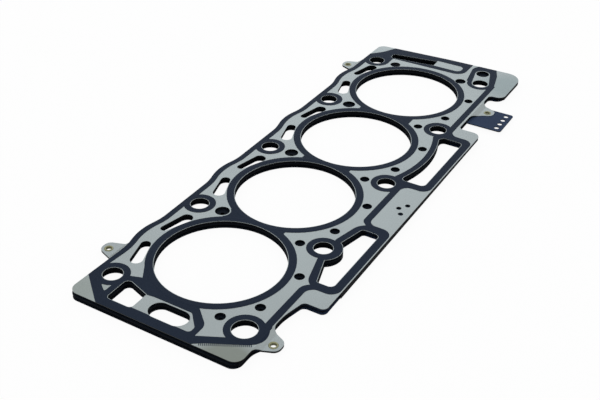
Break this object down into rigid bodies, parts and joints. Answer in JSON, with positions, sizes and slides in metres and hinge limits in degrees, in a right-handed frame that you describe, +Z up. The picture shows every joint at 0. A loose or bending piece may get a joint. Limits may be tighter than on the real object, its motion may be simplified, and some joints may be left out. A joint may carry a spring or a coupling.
{
  "type": "cylinder head gasket",
  "caption": "Flat multi-layer steel head gasket with round bores in a row, bolt holes, coolant slots, oil openings, riveted ears and a thickness tab.",
  "frame": {"origin": "axis of bore 1 on the resting face", "axes": "+X along the row of bores, +Y towards the coolant-slot side, +Z up from the block face to the printed face"},
  "size_m": [0.4584, 0.1793, 0.0061],
  "materials": {
    "bare_steel": "satin bare spring steel",
    "coated_steel": "satin dark rubber coating over steel",
    "printed_rubber": "satin printed sealing coating, dark blue",
    "brass": "satin, turned over at the lips"
  },
  "bodies": {
    "root": {"top_sheet": "bare_steel", "carrier_sheet": "coated_steel", "bottom_sheet": "coated_steel", "top_coating": "printed_rubber", "eyelet_1": "brass", "eyelet_2": "brass", "eyelet_3": "brass", "eyelet_4": "brass"}
  },
  "joints": []
}
